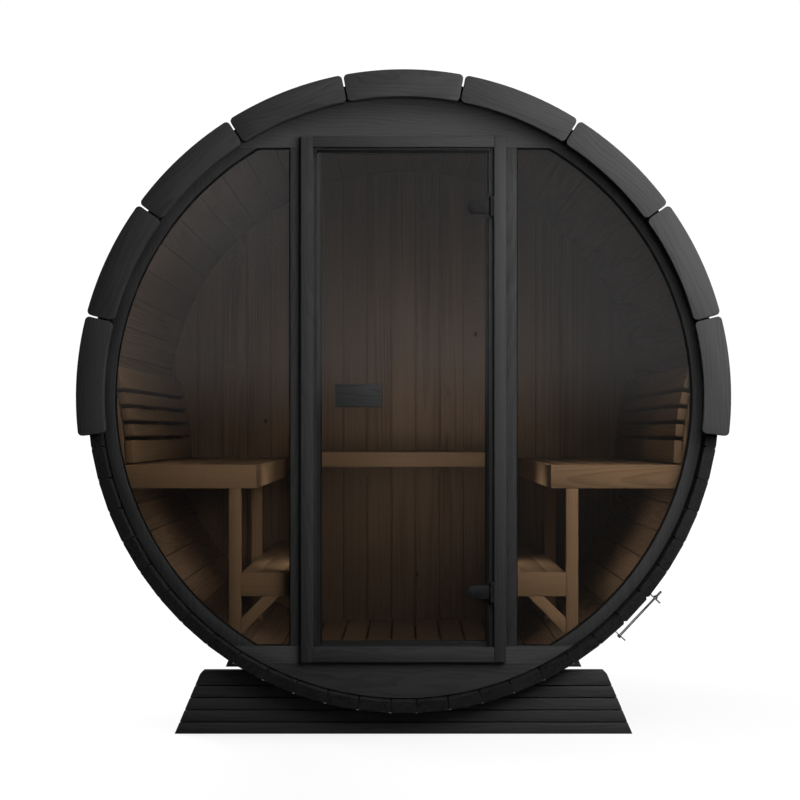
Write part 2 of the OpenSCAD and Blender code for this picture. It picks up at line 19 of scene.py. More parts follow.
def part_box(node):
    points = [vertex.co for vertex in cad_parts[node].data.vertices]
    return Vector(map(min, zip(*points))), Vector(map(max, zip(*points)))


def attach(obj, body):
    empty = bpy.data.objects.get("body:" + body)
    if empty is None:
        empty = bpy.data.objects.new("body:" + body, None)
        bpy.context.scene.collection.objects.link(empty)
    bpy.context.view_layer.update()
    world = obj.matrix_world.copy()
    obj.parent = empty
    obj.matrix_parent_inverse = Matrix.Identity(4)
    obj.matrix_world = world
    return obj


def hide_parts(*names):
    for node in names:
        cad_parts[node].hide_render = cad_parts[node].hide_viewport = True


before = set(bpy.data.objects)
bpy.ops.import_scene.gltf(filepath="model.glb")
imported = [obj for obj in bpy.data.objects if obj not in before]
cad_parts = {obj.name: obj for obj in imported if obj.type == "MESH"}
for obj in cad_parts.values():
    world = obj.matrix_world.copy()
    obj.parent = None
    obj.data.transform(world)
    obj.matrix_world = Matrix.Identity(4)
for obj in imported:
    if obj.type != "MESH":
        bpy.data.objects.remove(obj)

Colour = tuple[float, float, float]
Piece = bpy.types.Object
Material = bpy.types.Material

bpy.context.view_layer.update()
SEED = 7

# Turns of a cylinder
UPRIGHT = (0.0, 0.0, 0.0)
ALONG_Y = (math.pi / 2, 0.0, 0.0)

# Distance between places that count as one, and angles between faces
TOUCH = 1e-5
FLAT_ANGLE = math.radians(0.5)
SHARP_ANGLE = math.radians(30)
SMOOTH_ANGLE = math.radians(40)

# Parts of a normal along a direction: leaning to it, square to the grain, and pointing straight along it
LEANING = 0.1
END_GRAIN = 0.6
STRAIGHT = 0.9

# Where a board lies in its log, and how its tone may differ
PITH_DEPTH = (0.03, 0.11)
PITH_SIDE = 0.12
LOG_LENGTH = 40.0
TONE_SPREAD = (0.92, 1.08)

log = logging.getLogger("barrel_sauna")


class Body(Enum):
    """Bodies of the frame that pieces ride on."""

    CABIN = "cabin"
    DOOR = "door"


class Slot(Enum):
    """Material slots of the record."""

    STAVES = "stained_staves"
    TRIM = "stained_trim"
    WALL = "stained_wall"
    BARE = "bare_wood"
    GLASS = "smoked_glass"
    STEEL = "steel"
    DARK = "dark_metal"


class Side(Enum):
    """Sides of the barrel, as seen facing the door."""

    LEFT = "left"
    RIGHT = "right"


class End(Enum):
    """Ends of the barrel."""

    FRONT = "front"
    REAR = "rear"


# Shader sheets


class Wire:
    """A shader socket that Python arithmetic turns into Math nodes."""

    def __init__(self, sheet: "NodeSheet", socket: bpy.types.NodeSocket) -> None:
        """Wrap a socket of a sheet."""
        self.sheet = sheet
        self.socket = socket

    def __add__(self, other: "float | Wire") -> "Wire":
        """Sum."""
        return self.sheet.math("ADD", self, other)

    def __radd__(self, other: float) -> "Wire":
        """Sum, with the number first."""
        return self.sheet.math("ADD", other, self)

    def __sub__(self, other: "float | Wire") -> "Wire":
        """Difference."""
        return self.sheet.math("SUBTRACT", self, other)

    def __rsub__(self, other: float) -> "Wire":
        """Difference, with the number first."""
        return self.sheet.math("SUBTRACT", other, self)

    def __mul__(self, other: "float | Wire") -> "Wire":
        """Product."""
        return self.sheet.math("MULTIPLY", self, other)

    def __rmul__(self, other: float) -> "Wire":
        """Product, with the number first."""
        return self.sheet.math("MULTIPLY", other, self)

    def __truediv__(self, other: "float | Wire") -> "Wire":
        """Quotient."""
        return self.sheet.math("DIVIDE", self, other)

    def __pow__(self, other: "float | Wire") -> "Wire":
        """Power."""
        return self.sheet.math("POWER", self, other)


class NodeSheet:
    """A node tree that is written as expressions."""

    def __init__(self, tree: bpy.types.NodeTree) -> None:
        """Empty a node tree and write on it."""
        self.tree = tree
        tree.nodes.clear()

    def add(self, kind: str, settings: dict | None = None, inputs: dict | None = None) -> bpy.types.Node:
        """Add a node.

        Args:
            kind: type of the node.
            settings: properties, which are set first.
            inputs: values or wires of its sockets, by name or number.

        Returns:
            The new node.
        """
        node = self.tree.nodes.new(kind)
        for key, value in (settings or {}).items():
            setattr(node, key, value)
        for key, value in (inputs or {}).items():
            if isinstance(value, Wire):
                self.tree.links.new(value.socket, node.inputs[key])
            else:
                node.inputs[key].default_value = value
        return node

    def wire(
        self, kind: str, settings: dict | None = None, inputs: dict | None = None, output: int | str = 0
    ) -> Wire:
        """Add a node and take one of its outputs.

        Args:
            kind: type of the node.
            settings: properties of the node.
            inputs: values or wires of its sockets.
            output: name or number of the output.

        Returns:
            The output as a wire.
        """
        return Wire(self, self.add(kind, settings, inputs).outputs[output])

    def math(self, operation: str, *values: "float | Wire") -> Wire:
        """Add a Math node on these values."""
        return self.wire("ShaderNodeMath", {"operation": operation}, dict(enumerate(values)))

    def stretch(self, vector: Wire, factors: Colour) -> Wire:
        """Multiply a vector by factors."""
        return self.wire("ShaderNodeVectorMath", {"operation": "MULTIPLY"}, {0: vector, 1: factors})

    def noise(self, vector: Wire, factors: Colour, detail: float = 2.0, rough: float = 0.5) -> Wire:
        """Smooth noise between 0 and 1 over a stretched vector."""
        inputs = {"Vector": self.stretch(vector, factors), "Scale": 1.0, "Detail": detail, "Roughness": rough}
        return self.wire("ShaderNodeTexNoise", None, inputs)

    def smooth(self, value: Wire, start: float, end: float) -> Wire:
        """Rise smoothly from 0 at start to 1 at end."""
        inputs = {"Value": value, "From Min": start, "From Max": end, "To Min": 0.0, "To Max": 1.0}
        return self.wire("ShaderNodeMapRange", {"interpolation_type": "SMOOTHSTEP"}, inputs)

    def mix(self, share: Wire, first: "Colour | Wire", second: "Colour | Wire") -> Wire:
        """Mix two colours by a share that is held between 0 and 1."""
        ends = [(*end, 1.0) if isinstance(end, tuple) else end for end in (first, second)]
        settings = {"data_type": "RGBA", "clamp_factor": True}
        return self.wire("ShaderNodeMix", settings, {0: share, 6: ends[0], 7: ends[1]}, 2)

    def parts(self, vector: Wire) -> list[Wire]:
        """Split a vector into its three values."""
        node = self.add("ShaderNodeSeparateXYZ", None, {0: vector})
        return [Wire(self, output) for output in node.outputs]

    def bump(self, height: Wire, depth: float, strength: float = 1.0) -> Wire:
        """Normal of a surface with a height between 0 and 1 over a depth in metres."""
        inputs = {"Height": height, "Distance": depth, "Strength": strength}
        return self.wire("ShaderNodeBump", None, inputs)


def new_material(name: str) -> tuple[Material, NodeSheet]:
    """Make an empty material and its sheet."""
    material = bpy.data.materials.new(name)
    material.use_nodes = True
    return material, NodeSheet(material.node_tree)


def close_surface(sheet: NodeSheet, inputs: dict) -> None:
    """End a sheet in one Principled shader with these inputs."""
    shader = sheet.wire("ShaderNodeBsdfPrincipled", None, inputs)
    sheet.add("ShaderNodeOutputMaterial", None, {"Surface": shader})


# Finishes


@dataclass(frozen=True)
class WoodFinish:
    """Sawn wood with growth rings, fibres and knots, bare or stained.

    It reads each board's own coordinates (across, along, depth) and tone.
    """

    name: str
    early: Colour
    late: Colour
    knot: Colour
    ring_pitch: float = 0.0065
    ripple: float = 0.007
    contrast: float = 0.8
    streak: float = 0.7
    fineness: float = 300.0
    mottle: float = 0.0
    knot_share: float = 0.25
    roughness: float = 0.6
    specular: float = 0.4
    relief: float = 0.0006
    fibre_length: float = 60.0
    pores: Colour = (1100.0, 32.0, 1100.0)
    clouds: Colour = (9.0, 1.2, 9.0)
    specks: Colour = (130.0, 130.0, 130.0)
    knot_cells: Colour = (7.5, 6.0, 0.0)
    knot_bend: Colour = (0.05, 0.05, 0.05)
    knot_push: float = 0.016
    wander: float = 0.04

    def material(self) -> Material:
        """Build the material."""
        material, sheet = new_material(self.name)
        grain = sheet.wire("ShaderNodeAttribute", {"attribute_name": "grain"}, None, "Vector")
        tone = sheet.wire("ShaderNodeAttribute", {"attribute_name": "tone"}, None, "Fac")
        knot, swirl = self.knots(sheet, grain)
        ring = self.rings(sheet, grain, swirl)
        fibres = (self.fineness, self.fineness / self.fibre_length, self.fineness)
        fibre = sheet.noise(grain, fibres, 3.0, 0.65)
        pore = sheet.noise(grain, self.pores, 1.0)
        cloud = sheet.noise(grain, self.clouds, 2.0)
        speck = sheet.noise(grain, self.specks, 3.0, 0.6)
        shade = ring * self.contrast + (fibre + cloud - 1.0) * self.streak + (speck - 0.5) * self.mottle
        colour = sheet.mix(shade, self.early, self.late)
        colour = sheet.mix(knot, colour, self.knot)
        colour = sheet.wire("ShaderNodeHueSaturation", None, {"Value": tone, "Color": colour})
        height = fibre * 0.6 + pore * 0.4
        close_surface(sheet, {
            "Base Color": colour,
            "Roughness": self.roughness + (fibre - 0.5) * 0.25 + (pore - 0.5) * 0.12 - knot * 0.1,
            "Specular IOR Level": self.specular,
            "Normal": sheet.bump(height, self.relief),
        })
        return material

    def knots(self, sheet: NodeSheet, grain: Wire) -> tuple[Wire, Wire]:
        """Knots scattered over the boards.

        Args:
            sheet: the sheet to write on.
            grain: board coordinates.

        Returns:
            The dark knots, and the wider swirl of the grain round them.
        """
        bent = sheet.wire("ShaderNodeVectorMath", {"operation": "ADD"}, {
            0: sheet.stretch(grain, self.knot_cells),
            1: sheet.stretch(sheet.wire("ShaderNodeTexNoise", None, {
                "Vector": sheet.stretch(grain, (60.0, 60.0, 60.0)), "Scale": 1.0, "Detail": 2.0,
            }, "Color"), self.knot_bend),
        })
        cells = sheet.add("ShaderNodeTexVoronoi", None, {"Vector": bent, "Scale": 1.0})
        distance = Wire(sheet, cells.outputs["Distance"])
        chance = sheet.parts(Wire(sheet, cells.outputs["Color"]))
        present = sheet.math("GREATER_THAN", chance[0], 1.0 - self.knot_share)
        width = 0.035 + chance[1] * 0.05
        knot = present * sheet.smooth(distance / width, 1.0, 0.6)
        swirl = present * sheet.smooth(distance, 0.4, 0.0) * (chance[1] + 0.5)
        return knot, swirl

    def rings(self, sheet: NodeSheet, grain: Wire, swirl: Wire) -> Wire:
        """Growth rings about a wandering pith, each darkening slowly and ending sharply.

        Args:
            sheet: the sheet to write on.
            grain: board coordinates.
            swirl: where knots push the rings aside.

        Returns:
            Late wood as a value between 0 and 1.
        """
        across, _, depth = sheet.parts(grain)
        wander = sheet.noise(grain, (2.0, 0.8, 2.0)) - 0.5
        ripple = sheet.noise(grain, (14.0, 3.2, 14.0)) - 0.5
        across = across + wander * self.wander
        radius = (across * across + depth * depth) ** 0.5 + ripple * self.ripple + swirl * self.knot_push
        phase = sheet.math("FRACT", radius / self.ring_pitch)
        return sheet.smooth(phase, 0.2, 0.9) * sheet.smooth(phase, 1.0, 0.94)


@dataclass(frozen=True)
class GlassFinish:
    """Smoked toughened glass with faint smears."""

    name: str = "smoked_glass"
    tint: Colour = (0.012, 0.011, 0.010)
    cover: float = 0.25
    roughness: float = 0.02
    index: float = 1.52

    def material(self) -> Material:
        """Build the material."""
        material, sheet = new_material(self.name)
        place = sheet.wire("ShaderNodeTexCoord", None, None, "Object")
        smear = sheet.noise(place, (3.0, 3.0, 1.2), 4.0, 0.6)
        close_surface(sheet, {
            "Base Color": (*self.tint, 1.0),
            "Roughness": self.roughness + sheet.smooth(smear, 0.45, 0.8) * 0.05,
            "IOR": self.index,
            "Alpha": self.cover,
        })
        return material


@dataclass(frozen=True)
class MetalFinish:
    """Metal, brushed along its grain or powder coated."""

    name: str
    colour: Colour
    worn: Colour
    metallic: float
    roughness: float
    streaks: Colour
    relief: float
    specular: float = 0.5

    def material(self) -> Material:
        """Build the material."""
        material, sheet = new_material(self.name)
        place = sheet.wire("ShaderNodeTexCoord", None, None, "Object")
        brush = sheet.noise(place, self.streaks, 3.0, 0.6)
        patch = sheet.noise(place, (28.0, 28.0, 28.0), 3.0)
        wear = sheet.smooth(patch * 0.6 + brush * 0.4, 0.35, 0.7)
        close_surface(sheet, {
            "Base Color": sheet.mix(wear, self.colour, self.worn),
            "Metallic": self.metallic,
            "Roughness": self.roughness + (brush - 0.5) * 0.3,
            "Specular IOR Level": self.specular,
            "Normal": sheet.bump(brush, self.relief, 0.6),
        })
        return material


STAIN = WoodFinish(
    "black_stain", early=(0.0315, 0.0315, 0.032), late=(0.0175, 0.0175, 0.018), knot=(0.009, 0.009, 0.009),
    ring_pitch=0.0095, ripple=0.045, contrast=0.45, streak=0.9, fineness=200.0, mottle=0.5, knot_share=0.2,
    roughness=0.66, specular=0.16, relief=0.0006,
)
# Stain on end grain; the staves also carry it on their inner faces beyond the end walls as painted shade.
END_GRAIN_STAIN_AND_SHADE = WoodFinish(
    "black_end_grain_stain_and_painted_shade", early=(0.0145, 0.0145, 0.0148), late=(0.002, 0.002, 0.0021),
    knot=(0.002, 0.002, 0.002), ring_pitch=0.0045, contrast=0.6, streak=0.8, mottle=3.0, knot_share=0.0,
    roughness=0.8, specular=0.12, relief=0.001,
)
BARE_WOOD = WoodFinish(
    "bare_heat_treated_wood", early=(0.34, 0.205, 0.106), late=(0.235, 0.128, 0.06),
    knot=(0.07, 0.032, 0.015), ring_pitch=0.0045, contrast=0.7, streak=0.8, fineness=170.0, knot_share=0.3,
    roughness=0.62, specular=0.3, relief=0.0003,
)
WALL_WOOD = WoodFinish(
    "dark_heat_treated_wood", early=(0.19, 0.112, 0.06), late=(0.115, 0.062, 0.03), knot=(0.03, 0.014, 0.007),
    ring_pitch=0.008, contrast=0.6, streak=1.9, fineness=120.0, knot_share=0.5, roughness=0.65, specular=0.25,
    relief=0.00005,
)
BARE_END = WoodFinish(
    "bare_wood_end_grain", early=(0.23, 0.125, 0.062), late=(0.12, 0.06, 0.028), knot=(0.07, 0.032, 0.015),
    ring_pitch=0.0045, contrast=0.9, streak=0.7, knot_share=0.0, roughness=0.75, specular=0.2, relief=0.0007,
)
STEEL = MetalFinish(
    "brushed_steel", (0.72, 0.72, 0.73), (0.55, 0.55, 0.56), 1.0, 0.28, (70.0, 1200.0, 70.0), 0.0001,
)
DARK_METAL = MetalFinish(
    "dark_powder_coat", (0.007, 0.007, 0.0075), (0.012, 0.012, 0.0125), 0.0, 0.35,
    (900.0, 900.0, 900.0), 0.0001, 0.12,
)
RUBBER = MetalFinish(
    "rubber_seal", (0.004, 0.004, 0.004), (0.007, 0.007, 0.007), 0.0, 0.7, (400.0, 400.0, 400.0), 0.0001, 0.1,
)


@dataclass(frozen=True)
class Finishes:
    """The built materials."""

    stain: Material
    end_grain_stain_and_shade: Material
    bare: Material
    bare_end: Material
    lining: Material
    glass: Material
    steel: Material
    dark: Material
    rubber: Material

    @classmethod
    def build(cls) -> "Finishes":
        """Build every material once."""
        return cls(
            STAIN.material(), END_GRAIN_STAIN_AND_SHADE.material(), BARE_WOOD.material(), BARE_END.material(),
            WALL_WOOD.material(), GlassFinish().material(), STEEL.material(), DARK_METAL.material(),
            RUBBER.material(),
        )


# Bench tools


def focus(*pieces: Piece) -> None:
    """Select only these pieces, with the first one active."""
    bpy.ops.object.select_all(action="DESELECT")
    for piece in pieces:
        piece.select_set(True)
    bpy.context.view_layer.objects.active = pieces[0]


@contextmanager
def editing(piece: Piece, mode: str = "FACE") -> Iterator[None]:
    """Open a piece in edit mode, with everything in it selected."""
    focus(piece)
    bpy.ops.object.mode_set(mode="EDIT")
    bpy.ops.mesh.select_mode(type=mode)
    bpy.ops.mesh.select_all(action="SELECT")
    yield
    bpy.ops.object.mode_set(mode="OBJECT")


def pick_edges(piece: Piece, rule: Callable[[Vector, Vector], bool]) -> None:
    """Select the edges, in edit mode, whose two ends a rule accepts."""
    shape = bmesh.from_edit_mesh(piece.data)
    bpy.ops.mesh.select_all(action="DESELECT")
    for edge in shape.edges:
        edge.select_set(rule(edge.verts[0].co, edge.verts[1].co))
    shape.select_flush_mode()
    bmesh.update_edit_mesh(piece.data)


def pick_faces(piece: Piece, rule: Callable[[Vector, Vector], bool]) -> None:
    """Select the faces, in edit mode, whose middle and normal a rule accepts."""
    shape = bmesh.from_edit_mesh(piece.data)
    bpy.ops.mesh.select_all(action="DESELECT")
    for face in shape.faces:
        face.select_set(rule(face.calc_center_median(), face.normal))
    shape.select_flush_mode()
    bmesh.update_edit_mesh(piece.data)


def cube(name: str, low: Vector, high: Vector) -> Piece:
    """Add a cube between two corners, as a start."""
    bpy.ops.object.select_all(action="DESELECT")
    bpy.ops.mesh.primitive_cube_add(size=1.0, location=(low + high) / 2, scale=high - low)
    piece = bpy.context.active_object
    piece.name = name
    bpy.ops.object.transform_apply(location=True, rotation=True, scale=True)
    return piece


def cylinder(name: str, middle: Vector, radius: float, length: float, turn: Colour, sides: int) -> Piece:
    """Add a cylinder, as a start.

    Args:
        name: name of the piece.
        middle: its middle.
        radius: its radius.
        length: its length.
        turn: Euler angles that turn it from upright.
        sides: number of its sides.

    Returns:
        The new piece.
    """
    bpy.ops.object.select_all(action="DESELECT")
    bpy.ops.mesh.primitive_cylinder_add(
        vertices=sides, radius=radius, depth=length, location=middle, rotation=turn
    )
    piece = bpy.context.active_object
    piece.name = name
    bpy.ops.object.transform_apply(location=True, rotation=True, scale=True)
    return piece


def copy_node(node: str, name: str) -> Piece:
    """Copy a node's mesh, with its triangles merged into plain faces.

    Args:
        node: the node.
        name: name of the copy.

    Returns:
        The copy, with no material.
    """
    piece = bpy.data.objects.new(name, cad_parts[node].data.copy())
    bpy.context.scene.collection.objects.link(piece)
    piece.data.materials.clear()
    focus(piece)
    bpy.ops.mesh.customdata_custom_splitnormals_clear()
    with editing(piece):
        bpy.ops.mesh.remove_doubles(threshold=TOUCH)
        bpy.ops.mesh.dissolve_limited(angle_limit=FLAT_ANGLE)
    return piece


def copy_piece(piece: Piece) -> Piece:
    """Copy a piece, with a mesh of its own."""
    twin = piece.copy()
    twin.data = piece.data.copy()
    bpy.context.scene.collection.objects.link(twin)
    return twin


def loose_parts(piece: Piece) -> list[Piece]:
    """Split a piece into its separate solids."""
    with editing(piece):
        bpy.ops.mesh.separate(type="LOOSE")
    return list(bpy.context.selected_objects)


def cut(piece: Piece, place: Vector, normal: Vector, drop: bool = True) -> None:
    """Cut a piece by a plane; the side that the normal points to is dropped and the cut is closed."""
    with editing(piece):
        bpy.ops.mesh.bisect(plane_co=place, plane_no=normal, use_fill=drop, clear_outer=drop)


def carve(piece: Piece, cutter: Piece) -> None:
    """Take a cutter's shape out of a piece and remove the cutter."""
    focus(piece)
    modifier = piece.modifiers.new("carve", "BOOLEAN")
    modifier.operation = "DIFFERENCE"
    modifier.object = cutter
    bpy.ops.object.modifier_apply(modifier=modifier.name)
    bpy.data.objects.remove(cutter)


def round_edges(piece: Piece, radius: float, segments: int = 2) -> None:
    """Round every sharp edge of a piece."""
    focus(piece)
    modifier = piece.modifiers.new("round", "BEVEL")
    modifier.width = radius
    modifier.segments = segments
    modifier.limit_method = "ANGLE"
    modifier.angle_limit = SHARP_ANGLE
    bpy.ops.object.modifier_apply(modifier=modifier.name)
    bpy.ops.object.shade_smooth_by_angle(angle=SMOOTH_ANGLE)


def join(name: str, pieces: list[Piece]) -> Piece:
    """Join pieces into one, with its place in its mesh."""
    focus(*pieces)
    bpy.ops.object.transform_apply(location=True, rotation=True, scale=True)
    if len(pieces) > 1:
        bpy.ops.object.join()
    piece = bpy.context.active_object
    piece.name = name
    piece.data.name = name
    return piece


def vertex_places(piece: Piece) -> np.ndarray:
    """Places of a mesh's vertices, one row each."""
    places = np.empty(len(piece.data.vertices) * 3, np.float32)
    piece.data.vertices.foreach_get("co", places)
    return places.reshape(-1, 3)


def lay_grain(piece: Piece) -> None:
    """Give a board coordinates across its width, along its length and through its thickness.

    Faces across the grain take the second material.
    """
    places = vertex_places(piece)
    middle = (places.min(0) + places.max(0)) / 2
    spread = (places - middle).astype(float)
    _, axes = np.linalg.eigh(spread.T @ spread)
    axes = axes[:, [1, 2, 0]]
    axes = axes * np.sign(axes[np.abs(axes).argmax(0), range(3)])
    grain = piece.data.attributes.new("grain", "FLOAT_VECTOR", "POINT")
    grain.data.foreach_set("vector", (spread @ axes).astype(np.float32).ravel())
    piece.data.attributes.new("tone", "FLOAT", "POINT")
    along = Vector(axes[:, 1])
    for face in piece.data.polygons:
        face.material_index = 1 if abs(face.normal.dot(along)) > END_GRAIN else 0


def choose_board(piece: Piece, rng: random.Random, tone: float = 1.0, tilt: float = 0.06) -> None:
    """Cut a board from its own place in a log, with its own tone.

    Args:
        piece: a board with its grain laid.
        rng: source of the choice.
        tone: middle tone of such boards.
        tilt: steepest slope of the grain through the board.
    """
    pith = rng.choice((-1.0, 1.0)) * rng.uniform(*PITH_DEPTH)
    shift = np.array([rng.uniform(-PITH_SIDE, PITH_SIDE), rng.uniform(0.0, LOG_LENGTH), pith], np.float32)
    slope = rng.uniform(-tilt, tilt)
    grain = np.empty(len(piece.data.vertices) * 3, np.float32)
    attribute = piece.data.attributes["grain"]
    attribute.data.foreach_get("vector", grain)
    grain = grain.reshape(-1, 3)
    grain[:, 2] += grain[:, 1] * slope
    attribute.data.foreach_set("vector", (grain + shift).ravel())
    tones = np.full(len(piece.data.vertices), tone * rng.uniform(*TONE_SPREAD), np.float32)
    piece.data.attributes["tone"].data.foreach_set("value", tones)


def finish_piece(piece: Piece, body: Body, slot: Slot, nodes: list[str], *materials: Material) -> Piece:
    """Hand a piece to the frame.

    Args:
        piece: the finished piece.
        body: the body that it rides on.
        slot: the slot of its finish; not used.
        nodes: the nodes that it stands for.
        materials: its materials, if it has none yet.

    Returns:
        The same piece.
    """
    for material in materials:
        piece.data.materials.append(material)
    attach(piece, body.value)
    if nodes:
        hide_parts(*nodes)
    log.info("%s rides on %s, %d faces", piece.name, body.value, len(piece.data.polygons))
    return piece


# Sub-assemblies


@dataclass(frozen=True)
class Layout:
    """Places that sub-assemblies share, read from the frame."""

    axis_z: float
    wall_r: float
    front_y: float
    back_y: float
    front_wall: tuple[float, float]
    back_wall: tuple[float, float]

    @classmethod
    def read(cls) -> "Layout":
        """Read the places from the nodes' boxes."""
        disc_low, disc_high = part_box("back_wall")
        stave_low, stave_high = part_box("staves_bottom")
        head_low, head_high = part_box("front_wall_head")
        return cls(
            axis_z=(disc_low.z + disc_high.z) / 2,
            wall_r=(disc_high.x - disc_low.x) / 2,
            front_y=stave_low.y,
            back_y=stave_high.y,
            front_wall=(head_low.y, head_high.y),
            back_wall=(disc_low.y, disc_high.y),
        )

    def about_axis(self, angle: float) -> Matrix:
        """Turn about the barrel's axis, from straight down round to the right."""
        centre = Matrix.Translation((0.0, 0.0, self.axis_z))
        return centre @ Matrix.Rotation(-angle, 4, "Y") @ centre.inverted()


@dataclass
class Barrel:
    """Staves round the barrel, stained outside and bare between the end walls; beyond the end walls their
    inner faces take the darker end-grain stain as painted shade.
    """

    layout: Layout
    finishes: Finishes
    rng: random.Random
    outer_r: float = 1.010
    thickness: float = 0.037
    stave_count: int = 59
    closing_width: float = 0.084
    outer_chamfer: float = 0.0065
    slot_half: float = 0.0025
    slot_depth: float = 0.008
    end_chamfer: float = 0.0012
    tilt: float = 0.03
    groups: tuple[str, ...] = (
        "staves_bottom", "staves_lower_right", "staves_upper_right",
        "staves_top", "staves_upper_left", "staves_lower_left",
    )

    def build(self) -> None:
        """Model two widths of stave and copy them round the barrel."""
        closing = 2 * math.atan(self.closing_width / 2 / self.outer_r)
        step = (2 * math.pi - closing) / self.stave_count
        narrow = self.stave("closing_stave", closing)
        wide = self.stave("stave", step)
        per_group = (self.stave_count + 1) // len(self.groups)
        first = 1 - per_group // 2
        for number, group in enumerate(self.groups):
            copies = []
            for index in range(first + number * per_group, first + (number + 1) * per_group):
                side = (index > 0) - (index < 0)
                angle = side * (closing / 2 + (abs(index) - 0.5) * step)
                board = copy_piece(wide if side else narrow)
                choose_board(board, self.rng, tilt=self.tilt)
                board.matrix_world = self.layout.about_axis(angle)
                copies.append(board)
            finish_piece(join(f"{group}_boards", copies), Body.CABIN, Slot.STAVES, [group])
        for pattern in (narrow, wide):
            bpy.data.objects.remove(pattern)

    def stave(self, name: str, angle: float) -> Piece:
        """Model one stave at the bottom of the barrel.

        Args:
            name: name of the stave.
            angle: angle that it covers.

        Returns:
            The stave, with its grain laid.
        """
        half = self.outer_r * math.tan(angle / 2)
        inner_r = self.outer_r - self.thickness
        inner_half = half * inner_r / self.outer_r
        outer_z = self.layout.axis_z - self.outer_r
        inner_z = self.layout.axis_z - inner_r
        low = Vector((-half, self.layout.front_y, outer_z))
        high = Vector((half, self.layout.back_y, inner_z))
        middle_z = (outer_z + inner_z) / 2
        board = cube(name, low, high)
        with editing(board, "EDGE"):
            pick_edges(board, lambda a, b: min(a.z, b.z) > middle_z)
            bpy.ops.transform.resize(value=(inner_r / self.outer_r, 1.0, 1.0))
            pick_edges(board, lambda a, b: max(a.z, b.z) < middle_z and abs(a.y - b.y) > self.thickness)
            bpy.ops.mesh.bevel(offset=self.outer_chamfer, segments=1)
            pick_edges(board, lambda a, b: min(a.z, b.z) > middle_z and abs(a.y - b.y) > self.thickness)
            bpy.ops.mesh.bevel(offset=self.slot_depth, segments=1)
            pick_edges(board, lambda a, b: min(a.z, b.z) > inner_z - TOUCH)
            widen = (inner_half - self.slot_half) / (inner_half - self.slot_depth)
            bpy.ops.transform.resize(value=(widen, 1.0, 1.0))
            pick_edges(board, lambda a, b: abs(a.y - b.y) < TOUCH)
            bpy.ops.mesh.bevel(offset=self.end_chamfer, segments=1)
        walls = [sum(wall) / 2 for wall in (self.layout.front_wall, self.layout.back_wall)]
        for wall_y in walls:
            cut(board, Vector((0.0, wall_y, 0.0)), Vector((0.0, 1.0, 0.0)), drop=False)
        for material in (self.finishes.stain, self.finishes.end_grain_stain_and_shade, self.finishes.lining):
            board.data.materials.append(material)
        lay_grain(board)
        # Inner faces between the end walls take the lining; beyond them they take the darker end-grain stain,
        # painted shade on the strip in the recess before each end wall.
        for face in board.data.polygons:
            if face.normal.z > LEANING:
                face.material_index = 2 if walls[0] < face.center.y < walls[1] else 1
        return board


@dataclass
class Joinery:
    """Sawn pieces that keep the frame's shape: each solid rounded, with a grain of its own."""

    layout: Layout
    finishes: Finishes
    rng: random.Random
    wall_gap: float = 0.003
    rim_margin: float = 0.001

    def dress(self, node: str, slot: Slot, radius: float, tone: float, body: Body = Body.CABIN) -> Piece:
        """Stand for one node with rounded boards.

        Args:
            node: the node.
            slot: the slot of its finish.
            radius: radius of its edges.
            tone: middle tone of its boards.
            body: the body that it rides on.

        Returns:
            The finished piece.
        """
        boards = loose_parts(copy_node(node, f"{node}_boards"))
        boards.sort(key=lambda board: tuple(vertex_places(board).mean(0).round(4).tolist()))
        for board in boards:
            if slot is Slot.WALL:
                self.ease(board)
            round_edges(board, radius)
            lay_grain(board)
            choose_board(board, self.rng, tone)
        bare = (self.finishes.bare, self.finishes.bare_end)
        stained = (self.finishes.stain, self.finishes.end_grain_stain_and_shade)
        materials = bare if slot is Slot.BARE else stained
        return finish_piece(join(f"{node}_boards", boards), body, slot, [node], *materials)

    def ease(self, board: Piece) -> None:
        """Draw the round edge of a board of the end wall back from the staves."""
        axis = Vector((0.0, 0.0, self.layout.axis_z))
        rim = self.layout.wall_r - self.rim_margin
        scale = 1.0 - self.wall_gap / self.layout.wall_r
        with editing(board, "EDGE"):
            pick_edges(board, lambda a, b: all((end - axis).xz.length > rim for end in (a, b)))
            bpy.ops.transform.resize(value=(scale, 1.0, scale), center_override=axis)


@dataclass
class BackWall:
    """Upright boards across the rear, with a V at each joint."""

    layout: Layout
    finishes: Finishes
    rng: random.Random
    board_width: float = 0.100
    joint_chamfer: float = 0.004
    tilt: float = 0.012
    sides: int = 192

    def build(self) -> None:
        """Cut a disc into boards and round each one."""
        front, back = self.layout.back_wall
        middle = Vector((0.0, (front + back) / 2, self.layout.axis_z))
        disc = cylinder("back_disc", middle, self.layout.wall_r, back - front, ALONG_Y, self.sides)
        count = 2 * math.ceil((self.layout.wall_r - self.board_width / 2) / self.board_width) + 1
        boards = []
        for index in range(count):
            left = (index - count / 2) * self.board_width
            board = copy_piece(disc)
            cut(board, Vector((left, 0.0, 0.0)), Vector((-1.0, 0.0, 0.0)))
            cut(board, Vector((left + self.board_width, 0.0, 0.0)), Vector((1.0, 0.0, 0.0)))
            round_edges(board, self.joint_chamfer, 1)
            lay_grain(board)
            choose_board(board, self.rng, tilt=self.tilt)
            boards.append(board)
        bpy.data.objects.remove(disc)
        wall = join("back_wall_boards", boards)
        for face in wall.data.polygons:
            face.material_index = 1 if face.normal.y < -LEANING else 0
        finish_piece(wall, Body.CABIN, Slot.WALL, ["back_wall"], self.finishes.stain, self.finishes.lining)


